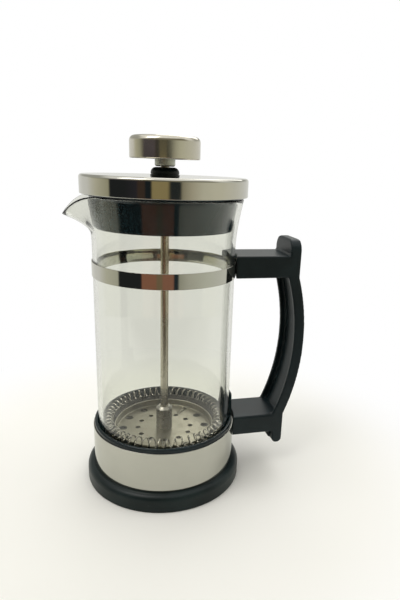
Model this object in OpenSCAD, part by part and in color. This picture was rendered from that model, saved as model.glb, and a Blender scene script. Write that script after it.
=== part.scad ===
// French press: a glass beaker in a banded stand with a handle, a lid, and a plunger with a filter.
// Origin: centre of the foot's underside. +Z up, handle towards +X, spout towards -X. Millimetres.

/* [Glass beaker] */
// Outer diameter of the straight glass wall
glass_d = 70; // [58:0.5:90]
// Thickness of the glass wall
glass_wall = 1.9; // [1.4:0.1:2.6]
// Thickness of the glass floor
glass_floor = 2.5; // [1.8:0.1:4]
// Height of the beaker from its underside to its rim
beaker_h = 140.1; // [120:0.1:170]
// Height of the flare below the rim
flare_h = 22; // [14:0.5:27]
// How far the rim stands outside the straight wall
flare_out = 3.2; // [2:0.1:5]
// How far the spout's tip stands outside the rim
spout_reach = 10.4; // [5:0.1:12]
// How far the spout's tip lies below the rim
spout_drop = 8.8; // [4:0.1:12]
// Angle from the spout's middle to each of its ends
spout_half_angle = 34; // [24:1:45]

/* [Base] */
// How far the foot stands outside the base band
foot_ledge = 3.6; // [2:0.1:8]
// Height of the foot
foot_h = 9.4; // [7:0.1:14]
// Radius of the foot's upper outer edge
foot_round = 3.4; // [1.5:0.1:3.8]
// Thickness of the foot's floor
foot_floor = 2.5; // [1.5:0.1:4]
// Depth of the seat for the cup in the top of the foot
cup_seat = 1.1; // [0.6:0.1:2]
// Wall of the cup that lines the base band
cup_wall = 1.7; // [1.4:0.1:2.5]
// How far the cup's lip stands above the base band
cup_lip = 2.2; // [0.5:0.1:4]
// Height of the tab on the cup at the handle
tab_h = 11.5; // [3:0.5:14]
// Width of the tab on the cup at the handle
tab_w = 16; // [8:0.5:20]
// Height of the base band
base_band_h = 21.1; // [16:0.1:30]
// Sheet thickness of the base band
base_band_gauge = 0.5; // [0.3:0.1:1]

/* [Clamp] */
// How far the clamp band's lower edge lies below the glass rim
clamp_below_rim = 38; // [30:0.1:60]
// Height of the clamp band
clamp_h = 7.2; // [5:0.1:9]
// Sheet thickness of the clamp band
clamp_gauge = 0.4; // [0.3:0.1:0.8]
// Inside distance between the two ears of the clamp band
ear_gap = 4; // [3:0.1:6]
// Length of the ears outside the band
ear_l = 11.5; // [10:0.5:14]
// Diameter of the clamp screw
clamp_screw_d = 3; // [2.5:0.1:4]

/* [Handle] */
// Width of the handle
handle_w = 23.1; // [18:0.1:26]
// Distance of the outermost point of the grip from the glass
grip_gap = 38.5; // [34:0.5:50]
// Radius of the grip's outer bow
grip_bow = 113.3; // [95:0.1:160]
// How far the grip's outermost point lies above the middle between the arms
grip_mid_up = 4.6; // [-5:0.1:12]
// Depth of the grip strap, lips included
grip_depth = 5.6; // [4.5:0.1:8]
// Thickness of the grip's outer wall
grip_wall = 2.3; // [1.6:0.1:3.5]
// Width of each lip along the grip's inner face
grip_lip = 2; // [1.4:0.1:4]
// How far the upper arm's middle lies above the clamp band's middle
upper_arm_up = 1.1; // [0:0.1:2]
// Height of the upper arm
upper_arm_h = 11.4; // [11:0.1:15]
// How far the lower arm's middle lies above the base band's middle
lower_arm_up = 7.2; // [-2:0.1:7.5]
// Height of the lower arm
lower_arm_h = 10.9; // [10:0.1:14]
// Height of the thumb plate above the upper arm
thumb_h = 8.2; // [4:0.1:14]
// How far the end of the strap hangs below the lower arm
spur_h = 7; // [3:0.1:8]
// Diameter of the screws between base and handle
base_screw_d = 2.8; // [2.2:0.1:3.4]

/* [Lid] */
// How far the lid stands outside the glass rim
lid_over = 1.6; // [0.4:0.1:4]
// Height of the lid's rim
lid_h = 8.6; // [7:0.1:14]
// Sheet thickness of the lid
lid_gauge = 0.7; // [0.4:0.1:1]
// Radius of the lid's upper edge
lid_round = 1.4; // [1:0.1:3]
// Thickness of the plug's top disc
plug_disc = 3; // [2:0.1:4]
// Wall of the plug's skirt
plug_wall = 2.2; // [1.6:0.1:3]
// Depth of the plug below the glass rim
plug_depth = 14.7; // [12:0.1:20]
// Gap between the plug and the glass
plug_gap = 0.5; // [0.4:0.05:1]
// Diameter of the rod bushing on the lid
bushing_d = 13.9; // [11:0.1:18]
// Height of the rod bushing above the lid
bushing_h = 3.9; // [3:0.1:8]

/* [Plunger] */
// Diameter of the plunger rod
rod_d = 4.2; // [3.5:0.1:6]
// Diameter of the knob
knob_d = 33.2; // [26:0.1:44]
// Height of the knob
knob_h = 10.2; // [8:0.1:18]
// Radius of the knob's upper edge
knob_round = 2.4; // [1:0.1:4]
// Sheet thickness of the knob's shell
knob_gauge = 0.8; // [0.5:0.1:1.5]
// Diameter of the neck below the knob
neck_d = 9.7; // [8:0.1:12]
// Height of the neck
neck_h = 3.4; // [3:0.1:10]

/* [Filter] */
// Height of the filter plate's upper face above the glass floor
plate_above_floor = 14.1; // [7.8:0.1:16]
// Sheet thickness of the filter plate
plate_gauge = 0.8; // [0.5:0.1:1.2]
// Height of the filter plate's raised rim
plate_rim_h = 3.6; // [3:0.1:6]
// Number of holes in each ring of the plate
plate_holes = 12; // [6:1:16]
// Diameter of the outer ring's holes
outer_hole_d = 4.3; // [2:0.1:5]
// Distance of the outer ring of holes from the edge of the plate's flat
outer_hole_inset = 3.6; // [3:0.1:6]
// Diameter of the inner ring's holes
inner_hole_d = 2.7; // [1:0.1:3.5]
// Distance between the two rings of holes
hole_ring_step = 8; // [4.5:0.1:9]
// Diameter of the coils of the edge spring
coil_d = 5.3; // [5:0.1:7]
// Wire diameter of the edge spring
coil_wire = 0.6; // [0.4:0.1:1]
// Gap between the edge spring and the glass
coil_gap = 0.6; // [0.4:0.05:1.5]
// Thickness of the woven screen
screen_t = 0.5; // [0.3:0.1:0.8]
// Thickness of the cross plate under the screen
cross_t = 0.8; // [0.6:0.1:1.2]
// Number of spokes of the cross plate
cross_spokes = 6; // [4:1:8]
// Diameter of the hub
hub_d = 8.7; // [7:0.1:12]
// Height of the hub above the filter plate
hub_h = 13; // [8:0.1:20]
// Thickness of the nut under the cross plate
filter_nut_h = 2.8; // [2:0.1:3]

/* [Hidden] */
$fn = 96;

// Clearances
rest_gap = 0.3;        // between pieces on different bodies that rest on each other
band_gap = 0.12;       // between the glass and the clamp band
cup_gap = 0.35;        // between the glass and the cup
fit = 0.05;            // between pieces of one body that slip together
running_fit = 0.08;    // around a rod or a screw that turns or slides
far = 200;             // longer than any piece, for cuts

// Levels from the table upwards
foot_floor_top = foot_h - cup_seat;
glass_z = foot_floor_top + rest_gap;
glass_floor_top = glass_z + glass_floor;
rim_z = glass_z + beaker_h;
clamp_z = rim_z - clamp_below_rim;
flare_z = rim_z - flare_h;
spout_root_z = flare_z + 0.2 * flare_h;
base_band_top = foot_h + base_band_h;
cup_top = base_band_top + cup_lip;
plug_top_z = rim_z + rest_gap;
lid_bottom_z = rim_z + 0.7;
lid_top_z = lid_bottom_z + lid_h;
bushing_top_z = lid_top_z + bushing_h;
neck_z = bushing_top_z + rest_gap;
knob_z = neck_z + neck_h;
knob_top_z = knob_z + knob_h;
plate_z = glass_floor_top + plate_above_floor;
hub_top_z = plate_z + hub_h;

// Radii
glass_r = glass_d / 2;
glass_in_r = glass_r - glass_wall;
rim_r = glass_r + flare_out;
cup_in_r = glass_r + cup_gap;
cup_out_r = cup_in_r + cup_wall;
base_band_in_r = cup_out_r + fit;
base_band_r = base_band_in_r + base_band_gauge;
foot_r = base_band_r + foot_ledge;
clamp_in_r = glass_r + band_gap;
clamp_r = clamp_in_r + clamp_gauge;
lid_r = rim_r + lid_over;
rod_r = rod_d / 2;
rod_bore_r = rod_r + running_fit;

// Beaker mesh
glass_sides = 72;
flare_steps = 8;
glass_edge = 0.8;
glass_foot_round = 3;
glass_floor_round = 4;
flare_power = 1.5;
spout_power = 1.75;
spout_wall_gain = 0.2;

// Handle, with the grip's arc in the XZ plane
upper_arm_z = clamp_z + clamp_h / 2 + upper_arm_up - upper_arm_h / 2;
upper_arm_top = upper_arm_z + upper_arm_h;
lower_arm_z = foot_h + base_band_h / 2 + lower_arm_up - lower_arm_h / 2;
lower_arm_top = lower_arm_z + lower_arm_h;
grip_mid_z = (upper_arm_z + lower_arm_top) / 2 + grip_mid_up;
grip_cx = glass_r + grip_gap - grip_bow;
upper_root_r = clamp_r + 0.4;
lower_root_r = base_band_r + 0.1;
arm_round = 1;
thumb_round = 6;
gusset_l = 4.5;
gusset_w = 14;
channel_margin = 1.5;

// Clamp screw, across the upper arm
clamp_screw_x = clamp_r + ear_l - 4;
clamp_screw_z = clamp_z + clamp_h / 2;
slot_w = ear_gap + 2 * clamp_gauge + 0.8;
slot_l = ear_l + 1.2;
screw_clear = 0.35;
clamp_head_r = 3;
clamp_head_t = 1.9;
clamp_head_recess = 0.5;
clamp_nut_r = 3.1;
clamp_nut_t = 2.2;

// Screws between the cup and the lower arm
base_screw_spacing = 6;
base_screw_l = 14;
base_head_r = 2.3;
base_head_t = 1;
base_screw_y = [-base_screw_spacing / 2, base_screw_spacing / 2];
base_screw_z = min(lower_arm_z + lower_arm_h / 2, base_band_top - 3.5);
base_head_x = cup_in_r + 0.15;

// Lid and bushing
bushing_sleeve_r = rod_r + 1.5;
bushing_ring_h = 0.9;
bushing_seam = 0.25;
bushing_round = 2.6;
bushing_nut_h = 3;
bushing_nut_r = 7;
plug_boss_r = 9;
lid_hem = 0.35;

// Knob
knob_insert_floor = 2;
knob_insert_recess = 0.5;
knob_boss_r = 5.5;
knob_edge = 0.5;
neck_round = 1;

// Filter
coil_ring_r = glass_in_r - coil_gap - coil_d / 2;
coil_lift = 4.4;
coil_z = plate_z + coil_lift + coil_d / 2;
plate_flat_r = coil_ring_r - coil_d / 2 - 1.3;
plate_rim_r = coil_ring_r - coil_d / 2 - 0.4;
plate_turn = -6;
outer_hole_ring = plate_flat_r - outer_hole_inset;
inner_hole_ring = outer_hole_ring - hole_ring_step;
stud_r = rod_r + 0.3;
hub_bevel = 1.3;
hub_floor = 0.6;
screen_r = glass_in_r - coil_gap - 0.5;
screen_z = plate_z - plate_gauge - screen_t;
screen_rise = coil_z - coil_d / 2 - screen_z - screen_t - 0.2;
cross_z = screen_z - cross_t;
cross_r = plate_flat_r + 0.6;
cross_rim = 3;
cross_spoke_w = 3.4;
cross_hub_r = 6.5;
filter_nut_r = 4.6;
stud_end = 0.4;

// ---------- helpers ----------

// A rectangle from the origin with four round corners
module round_rect(size, r) {
    translate([r, 0]) square([size[0] - 2 * r, size[1]]);
    translate([0, r]) square([size[0], size[1] - 2 * r]);
    for (x = [r, size[0] - r], y = [r, size[1] - r]) translate([x, y]) circle(r, $fn = 48);
}

// An upright tube
module tube(r_out, r_in, z, h) {
    translate([0, 0, z]) difference() {
        cylinder(r = r_out, h = h);
        translate([0, 0, -1]) cylinder(r = r_in, h = h + 2);
    }
}

// Half of a drawn cup with a round upper edge, as a turned section
module cap_section(r, z, h, round) {
    translate([0, z]) square([r, h - round]);
    translate([0, z]) square([r - round, h]);
    intersection() {
        translate([r - round, z + h - round]) circle(round, $fn = 64);
        translate([0, z]) square([r, h]);
    }
}

// A rod along +Y whose middle is at the given place
module rod_y(r, l, sides = 64) {
    rotate([90, 0, 0]) cylinder(r = r, h = l, center = true, $fn = sides);
}

// ---------- glass ----------

// 1 in the middle of the spout, 0 beyond its ends
function lip(a) = abs(a) < spout_half_angle ? pow(cos(90 * a / spout_half_angle), 2) : 0;

function rim_height(a) = rim_z - spout_drop * pow(lip(a), 2);

function flare(z) = flare_out * pow(max(0, (z - flare_z) / flare_h), flare_power);

function spout_rise(a, z) =
    pow(max(0, (z - spout_root_z) / (rim_height(a) - spout_root_z)), spout_power);

function outer_r(a, z) =
    let (full = rim_r + spout_reach - glass_r - flare(rim_z - spout_drop))
    glass_r + flare(z) + lip(a) * full * spout_rise(a, z);

function inner_r(a, z) =
    outer_r(a, z) - glass_wall * (1 + spout_wall_gain * lip(a) * spout_rise(a, z));

// The wall's section at angle a from the spout: underside, outside, rim, inside, floor
function beaker_profile(a) =
    let (top = rim_height(a), shoulder = top - glass_edge, drop = shoulder - flare_z,
         foot = glass_foot_round, well = glass_floor_round)
    concat(
        [for (i = [0:3]) [glass_r - foot + foot * sin(30 * i), glass_z + foot * (1 - cos(30 * i))]],
        [for (i = [0:flare_steps]) let (z = flare_z + drop * i / flare_steps) [outer_r(a, z), z]],
        [[outer_r(a, top) - 0.3 * glass_edge, top - 0.3 * glass_edge],
         [(outer_r(a, top) + inner_r(a, top)) / 2, top],
         [inner_r(a, top) + 0.3 * glass_edge, top - 0.3 * glass_edge]],
        [for (i = [flare_steps:-1:0]) let (z = flare_z + drop * i / flare_steps) [inner_r(a, z), z]],
        [for (i = [3:-1:0])
            [glass_in_r - well + well * sin(30 * i), glass_floor_top + well * (1 - cos(30 * i))]]
    );

module glass_beaker() {
    rings = len(beaker_profile(0));
    points = [for (s = [0:glass_sides - 1])
        let (turn = 360 * s / glass_sides, a = turn > 180 ? turn - 360 : turn)
        for (p = beaker_profile(a)) [-p[0] * cos(turn), -p[0] * sin(turn), p[1]]];
    walls = [for (s = [0:glass_sides - 1], k = [0:rings - 2])
        let (t = (s + 1) % glass_sides, a = s * rings + k, b = t * rings + k)
        for (f = [[a, a + 1, b + 1], [a, b + 1, b]]) f];
    caps = [[for (s = [0:glass_sides - 1]) s * rings],
            [for (s = [glass_sides - 1:-1:0]) s * rings + rings - 1]];
    color([0.86, 0.88, 0.84, 0.4]) polyhedron(points, concat(walls, caps), convexity = 6);
}

// ---------- base ----------

module base_foot() {
    under_r = foot_r - 4;
    groove_w = 0.6;
    color([0.09, 0.1, 0.1]) {
        difference() {
            rotate_extrude() cap_section(foot_r, 0, foot_h, foot_round);
            translate([0, 0, foot_floor_top]) cylinder(r = base_band_in_r, h = far);
            translate([0, 0, -1]) cylinder(r = under_r, h = foot_floor_top - foot_floor + 1);
            tube(base_band_r + groove_w, base_band_r, foot_h - groove_w, far);
        }
        for (i = [0:5]) rotate(60 * i) translate([9, -0.8, 1.4])
            cube([under_r - 8.8, 1.6, foot_floor_top - foot_floor - 1.2]);
    }
}

module base_cup() {
    color([0.08, 0.09, 0.09]) difference() {
        union() {
            tube(cup_out_r, cup_in_r, foot_floor_top, cup_top - foot_floor_top);
            intersection() {
                tube(cup_in_r + 1.4, cup_in_r, cup_top - 1, tab_h + 1);
                translate([0, 0, cup_top - 1]) rotate([90, 0, 90]) linear_extrude(far)
                    polygon([[-tab_w / 2, 0], [tab_w / 2, 0], [tab_w / 2, 2],
                             [tab_w / 3, tab_h + 1], [-tab_w / 3, tab_h + 1], [-tab_w / 2, 2]]);
            }
        }
        for (y = base_screw_y) translate([0, y, base_screw_z]) rotate([0, 90, 0]) {
            cylinder(r = base_screw_d / 2 + fit, h = far);
            cylinder(r = base_head_r + fit, h = base_head_x + base_head_t);
        }
    }
}

module base_band() {
    color([0.78, 0.77, 0.72]) difference() {
        tube(base_band_r, base_band_in_r, foot_h, base_band_h);
        for (y = base_screw_y) translate([0, y, base_screw_z]) rotate([0, 90, 0])
            cylinder(r = base_screw_d / 2 + fit, h = far);
    }
}

module base_screws() {
    color([0.7, 0.7, 0.7]) for (y = base_screw_y) translate([base_head_x, y, base_screw_z]) rotate([0, 90, 0])
        difference() {
            union() {
                cylinder(r = base_head_r, h = base_head_t);
                cylinder(r = base_screw_d / 2, h = base_screw_l);
            }
            for (turn = [0, 90]) rotate(turn) cube([2.6, 0.7, 1.2], center = true);
        }
}

// ---------- handle ----------

// X of the grip's outer face at height z
function grip_x(z) = grip_cx + sqrt(pow(grip_bow, 2) - pow(z - grip_mid_z, 2));

// The strap's side view: thumb plate, bow and spur
module strap_section() {
    thumb_x = grip_x(upper_arm_z);
    spur_x = grip_x(lower_arm_top);
    half = grip_depth / 2;
    intersection() {
        difference() {
            translate([grip_cx, grip_mid_z]) circle(grip_bow, $fn = 360);
            translate([grip_cx, grip_mid_z]) circle(grip_bow - grip_depth, $fn = 360);
        }
        translate([0, lower_arm_top - 0.4]) square([far, upper_arm_z - lower_arm_top + 0.8]);
    }
    translate([thumb_x - grip_depth, upper_arm_z])
        round_rect([grip_depth, upper_arm_h + thumb_h], 1.6);
    translate([thumb_x - grip_depth, upper_arm_z]) square([grip_depth, upper_arm_h]);
    translate([spur_x - grip_depth, lower_arm_z]) square([grip_depth, lower_arm_h]);
    translate([spur_x - grip_depth, lower_arm_z - spur_h + half])
        square([grip_depth, spur_h]);
    translate([spur_x - half, lower_arm_z - spur_h + half]) circle(half, $fn = 48);
}

// The strap's front view, with the round upper corners of the thumb plate
module strap_front() {
    low = lower_arm_z - spur_h;
    high = upper_arm_top + thumb_h;
    translate([-handle_w / 2, low]) square([handle_w, high - low - thumb_round]);
    translate([thumb_round - handle_w / 2, low]) square([handle_w - 2 * thumb_round, high - low]);
    for (side = [-1, 1]) translate([side * (handle_w / 2 - thumb_round), high - thumb_round])
        circle(thumb_round, $fn = 64);
}

// One arm from the axis out to x_end, before its root is cut
module arm(z, h, x_end) {
    translate([glass_in_r, -handle_w / 2, z]) rotate([90, 0, 90])
        linear_extrude(x_end - glass_in_r) round_rect([handle_w, h], arm_round);
}

module handle() {
    thumb_x = grip_x(upper_arm_z);
    spur_x = grip_x(lower_arm_top);
    root_w = spur_x - grip_depth;
    head_y = handle_w / 2 - clamp_head_recess;
    color([0.09, 0.1, 0.11]) difference() {
        union() {
            intersection() {
                rotate([90, 0, 0]) linear_extrude(handle_w, center = true) strap_section();
                rotate([90, 0, 90]) linear_extrude(far) strap_front();
            }
            arm(upper_arm_z, upper_arm_h, thumb_x - grip_depth / 2);
            arm(lower_arm_z, lower_arm_h, spur_x - grip_depth / 2);
            rotate([90, 0, 0]) linear_extrude(gusset_w, center = true)
                polygon([[root_w - gusset_l, lower_arm_z + 0.5], [root_w + 0.5, lower_arm_z + 0.5],
                         [root_w + 0.5, lower_arm_z - spur_h + 1.2],
                         [root_w - 0.4, lower_arm_z - spur_h + 1.2]]);
        }
        translate([0, 0, upper_arm_z - 1]) cylinder(r = upper_root_r, h = upper_arm_h + 2);
        translate([0, 0, lower_arm_z - 1]) cylinder(r = lower_root_r, h = lower_arm_h + 2);
        // channel along the grip's inner face
        rotate([90, 0, 0]) linear_extrude(handle_w - 2 * grip_lip, center = true) intersection() {
            difference() {
                translate([grip_cx, grip_mid_z]) circle(grip_bow - grip_wall, $fn = 360);
                translate([grip_cx, grip_mid_z]) circle(grip_bow - grip_depth - channel_margin, $fn = 360);
            }
            translate([0, lower_arm_top]) square([far, upper_arm_z - lower_arm_top]);
        }
        // slot for the clamp band's ears
        translate([glass_in_r, -slot_w / 2, clamp_z - rest_gap])
            cube([upper_root_r + slot_l - glass_in_r, slot_w, clamp_h + 2 * rest_gap]);
        // clamp screw, its head and the pocket of its nut
        translate([clamp_screw_x, handle_w / 4, clamp_screw_z])
            rod_y(clamp_screw_d / 2 + screw_clear, handle_w / 2);
        translate([clamp_screw_x, head_y - clamp_head_t - rest_gap + 5, clamp_screw_z])
            rod_y(clamp_head_r + rest_gap, 10);
        translate([clamp_screw_x, -slot_w / 2 - clamp_nut_t / 2, clamp_screw_z])
            rod_y(clamp_nut_r + fit, clamp_nut_t + 0.2, 6);
        translate([clamp_screw_x, -slot_w / 2 - clamp_nut_t, clamp_screw_z])
            rod_y(clamp_screw_d / 2 + screw_clear, 3);
        for (y = base_screw_y) translate([0, y, base_screw_z]) rotate([0, 90, 0])
            cylinder(r = base_screw_d / 2 + fit, h = base_head_x + base_screw_l + 0.5);
    }
}

// ---------- clamp ----------

module clamp_band() {
    ear_y = ear_gap / 2;
    color([0.78, 0.77, 0.72]) difference() {
        union() {
            difference() {
                tube(clamp_r, clamp_in_r, clamp_z, clamp_h);
                translate([0, -ear_y, clamp_z - 1]) cube([far, ear_gap, clamp_h + 2]);
            }
            for (side = [-1, 1]) translate([clamp_in_r + 0.15, side * (ear_y + clamp_gauge / 2), clamp_z])
                translate([0, -clamp_gauge / 2, 0]) cube([ear_l, clamp_gauge, clamp_h]);
        }
        translate([clamp_screw_x, 0, clamp_screw_z]) rod_y(clamp_screw_d / 2 + screw_clear, 3 * ear_gap);
    }
}

module clamp_nut() {
    color([0.72, 0.72, 0.7]) translate([clamp_screw_x, -slot_w / 2 - clamp_nut_t / 2, clamp_screw_z])
        difference() {
            rod_y(clamp_nut_r, clamp_nut_t, 6);
            rod_y(clamp_screw_d / 2 + running_fit, clamp_nut_t + 1);
        }
}

module clamp_screw() {
    head_y = handle_w / 2 - clamp_head_recess;
    shank_end = -slot_w / 2 - clamp_nut_t - 0.6;
    color([0.75, 0.75, 0.73]) translate([clamp_screw_x, 0, clamp_screw_z]) difference() {
        union() {
            translate([0, head_y - clamp_head_t / 2, 0]) rod_y(clamp_head_r, clamp_head_t);
            translate([0, (head_y - clamp_head_t + 0.2 + shank_end) / 2, 0])
                rod_y(clamp_screw_d / 2, head_y - clamp_head_t + 0.2 - shank_end);
        }
        for (turn = [0, 90]) rotate([0, turn, 0]) translate([-1.7, head_y - 1, -0.4])
            cube([3.4, 2, 0.8]);
    }
}

// ---------- lid ----------

module lid_cover() {
    sleeve_r = bushing_sleeve_r + fit;
    color([0.8, 0.79, 0.75]) {
        difference() {
            rotate_extrude() difference() {
                cap_section(lid_r, lid_bottom_z, lid_h, lid_round);
                translate([0, -1]) cap_section(lid_r - lid_gauge, lid_bottom_z, lid_h + 1 - lid_gauge,
                                               lid_round - lid_gauge);
            }
            cylinder(r = sleeve_r, h = far);
        }
        tube(lid_r, lid_r - lid_gauge - lid_hem, lid_bottom_z, lid_hem);
    }
}

module lid_plug() {
    disc_r = lid_r - lid_gauge - lid_hem - 0.15;
    low = rim_z - plug_depth;
    steps = 8;
    outer = [for (i = [0:steps]) let (z = low + (plug_top_z - low) * i / steps)
        [glass_in_r + flare(min(z, rim_z)) - plug_gap, z]];
    bottom_r = glass_in_r + flare(low) - plug_gap - plug_wall;
    color([0.1, 0.11, 0.11]) difference() {
        union() {
            rotate_extrude() polygon(concat([[bottom_r, low]], outer,
                [[disc_r, plug_top_z], [disc_r, plug_top_z + plug_disc],
                 [plug_boss_r, plug_top_z + plug_disc], [plug_boss_r, lid_top_z - lid_gauge],
                 [0, lid_top_z - lid_gauge], [0, plug_top_z], [bottom_r, plug_top_z]]));
        }
        translate([0, 0, low]) cylinder(r = bushing_sleeve_r + fit, h = far);
    }
}

module rod_bushing() {
    r = bushing_d / 2;
    sleeve_end = plug_top_z - bushing_nut_h;
    color([0.07, 0.07, 0.08]) difference() {
        union() {
            rotate_extrude() cap_section(r - 0.15, lid_top_z + bushing_ring_h, bushing_h - bushing_ring_h,
                                         bushing_round);
            translate([0, 0, lid_top_z]) cylinder(r = r, h = bushing_ring_h - bushing_seam);
            translate([0, 0, lid_top_z]) cylinder(r = r - 0.4, h = bushing_ring_h + 0.1);
            translate([0, 0, sleeve_end]) cylinder(r = bushing_sleeve_r, h = lid_top_z - sleeve_end + 0.1);
        }
        translate([0, 0, sleeve_end - 1]) cylinder(r = rod_bore_r, h = far);
    }
}

module bushing_nut() {
    color([0.75, 0.75, 0.73]) translate([0, 0, plug_top_z - bushing_nut_h]) difference() {
        cylinder(r = bushing_nut_r, h = bushing_nut_h, $fn = 6);
        translate([0, 0, -1]) cylinder(r = bushing_sleeve_r + fit, h = bushing_nut_h + 2);
    }
}

// ---------- plunger ----------

module plunger_rod() {
    rod_end = plate_z + hub_floor + rest_gap;
    rod_top = knob_top_z - knob_gauge - 2;
    color([0.74, 0.72, 0.66]) translate([0, 0, rod_end]) cylinder(r = rod_r, h = rod_top - rod_end);
}

module knob_shell() {
    r = knob_d / 2;
    color([0.8, 0.79, 0.74]) rotate_extrude() difference() {
        union() {
            cap_section(r, knob_z + knob_edge, knob_h - knob_edge, knob_round);
            translate([0, knob_z]) square([r - knob_edge, knob_edge]);
            translate([r - knob_edge, knob_z + knob_edge]) circle(knob_edge, $fn = 32);
        }
        translate([0, -1]) cap_section(r - knob_gauge, knob_z, knob_h + 1 - knob_gauge,
                                       knob_round - knob_gauge);
    }
}

module knob_insert() {
    r = knob_d / 2 - knob_gauge - fit;
    z = knob_z + knob_insert_recess;
    boss_h = knob_top_z - knob_gauge - fit - z;
    color([0.1, 0.1, 0.1]) difference() {
        union() {
            translate([0, 0, z]) cylinder(r = r, h = knob_insert_floor);
            translate([0, 0, z]) cylinder(r = knob_boss_r, h = boss_h);
            for (i = [0:5]) rotate(60 * i) translate([knob_boss_r - 1, -0.7, z])
                cube([r - knob_boss_r, 1.4, boss_h - knob_round]);
        }
        translate([0, 0, z - 1]) cylinder(r = rod_bore_r, h = boss_h);
    }
}

module knob_neck() {
    r = neck_d / 2;
    top = knob_z + knob_insert_recess;
    color([0.72, 0.71, 0.66]) difference() {
        rotate_extrude() {
            translate([0, neck_z + neck_round]) square([r, top - neck_z - neck_round]);
            translate([0, neck_z]) square([r - neck_round, top - neck_z]);
            translate([r - neck_round, neck_z + neck_round]) circle(neck_round, $fn = 32);
        }
        translate([0, 0, neck_z - 1]) cylinder(r = rod_bore_r, h = top - neck_z + 2);
    }
}

// ---------- filter ----------

module filter_hub() {
    r = hub_d / 2;
    stud_z = cross_z - filter_nut_h - stud_end;
    color([0.66, 0.65, 0.6]) difference() {
        union() {
            translate([0, 0, plate_z]) cylinder(r = r, h = hub_h - hub_bevel);
            translate([0, 0, hub_top_z - hub_bevel]) cylinder(r1 = r, r2 = r - hub_bevel, h = hub_bevel);
            translate([0, 0, stud_z]) cylinder(r = stud_r, h = plate_z - stud_z + 0.1);
        }
        translate([0, 0, plate_z + hub_floor]) cylinder(r = rod_bore_r, h = hub_h);
    }
}

module ring_of_holes(count, ring_r, hole_d) {
    for (i = [0:count - 1]) rotate(plate_turn + 360 * i / count) translate([ring_r, 0, plate_z - 5])
        cylinder(r = hole_d / 2, h = 10, $fn = 32);
}

module filter_plate() {
    low = plate_z - plate_gauge;
    color([0.62, 0.6, 0.54]) difference() {
        rotate_extrude() polygon([[0, low], [plate_flat_r + plate_gauge, low],
            [plate_rim_r, low + plate_rim_h + plate_gauge],
            [plate_rim_r - plate_gauge, low + plate_rim_h + plate_gauge],
            [plate_flat_r, plate_z], [0, plate_z]]);
        ring_of_holes(plate_holes, outer_hole_ring, outer_hole_d);
        ring_of_holes(plate_holes, inner_hole_ring, inner_hole_d);
        translate([0, 0, low - 1]) cylinder(r = stud_r + fit, h = 5);
    }
}

module edge_spring() {
    color([0.7, 0.69, 0.64]) rotate_extrude() translate([coil_ring_r, coil_z]) difference() {
        circle(coil_d / 2, $fn = 48);
        circle(coil_d / 2 - coil_wire, $fn = 48);
    }
}

module filter_screen() {
    color([0.6, 0.6, 0.56]) difference() {
        rotate_extrude() polygon([[0, screen_z], [plate_flat_r + 1, screen_z],
            [screen_r, screen_z + screen_rise], [screen_r, screen_z + screen_rise + screen_t],
            [plate_flat_r + 1, screen_z + screen_t], [0, screen_z + screen_t]]);
        translate([0, 0, screen_z - 1]) cylinder(r = stud_r + fit, h = 5);
    }
}

module cross_plate() {
    color([0.66, 0.65, 0.6]) translate([0, 0, cross_z]) linear_extrude(cross_t) difference() {
        union() {
            difference() {
                circle(cross_r);
                circle(cross_r - cross_rim);
            }
            circle(cross_hub_r);
            for (i = [0:cross_spokes - 1]) rotate(360 * i / cross_spokes)
                translate([0, -cross_spoke_w / 2]) square([cross_r - cross_rim / 2, cross_spoke_w]);
        }
        circle(stud_r + fit);
    }
}

module filter_nut() {
    color([0.7, 0.69, 0.64]) translate([0, 0, cross_z - filter_nut_h]) difference() {
        cylinder(r = filter_nut_r, h = filter_nut_h, $fn = 6);
        translate([0, 0, -1]) cylinder(r = stud_r + fit, h = filter_nut_h + 2);
    }
}

base_foot();
base_cup();
base_band();
base_screws();
handle();
clamp_band();
clamp_nut();
clamp_screw();
glass_beaker();
lid_cover();
lid_plug();
rod_bushing();
bushing_nut();
plunger_rod();
knob_shell();
knob_insert();
knob_neck();
filter_hub();
filter_plate();
edge_spring();
filter_screen();
cross_plate();
filter_nut();
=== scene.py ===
"""Dresses a small glass coffee press: polished and satin steel, moulded plastic and clear glass.

Every size is in millimetres until a mesh is made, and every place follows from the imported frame.
"""

import logging
import math
from collections.abc import Sequence
from dataclasses import dataclass, field
from enum import Enum
from typing import Any

import bmesh
import bpy
from mathutils import Matrix, Vector

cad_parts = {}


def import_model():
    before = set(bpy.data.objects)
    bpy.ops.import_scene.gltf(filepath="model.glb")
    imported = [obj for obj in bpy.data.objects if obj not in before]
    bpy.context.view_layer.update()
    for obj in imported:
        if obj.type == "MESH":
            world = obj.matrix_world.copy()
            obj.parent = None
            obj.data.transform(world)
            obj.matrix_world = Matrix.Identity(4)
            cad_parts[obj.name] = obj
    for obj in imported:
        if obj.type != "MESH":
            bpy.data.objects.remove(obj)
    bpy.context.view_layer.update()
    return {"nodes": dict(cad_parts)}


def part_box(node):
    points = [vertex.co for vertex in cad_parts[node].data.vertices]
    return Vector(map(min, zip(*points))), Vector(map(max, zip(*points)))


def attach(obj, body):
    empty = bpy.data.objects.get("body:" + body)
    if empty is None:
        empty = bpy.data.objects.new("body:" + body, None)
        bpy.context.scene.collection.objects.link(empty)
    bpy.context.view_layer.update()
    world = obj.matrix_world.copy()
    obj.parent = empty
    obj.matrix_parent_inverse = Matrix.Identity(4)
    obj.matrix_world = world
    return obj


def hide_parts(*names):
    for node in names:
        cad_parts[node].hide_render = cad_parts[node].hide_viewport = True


MM = 0.001
TURNED_SIDES = 192
SHARP_ANGLE = math.radians(32)
LONG_RUN = 1.0
SUPPORT = 0.04
ROD_FIT = 0.08
STUD_FIT = 0.35

Point = tuple[float, float]
Corner = tuple[float, float, float]
Colour = tuple[float, float, float]
Stretch = tuple[float, float, Colour]

log = logging.getLogger("press")


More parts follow.
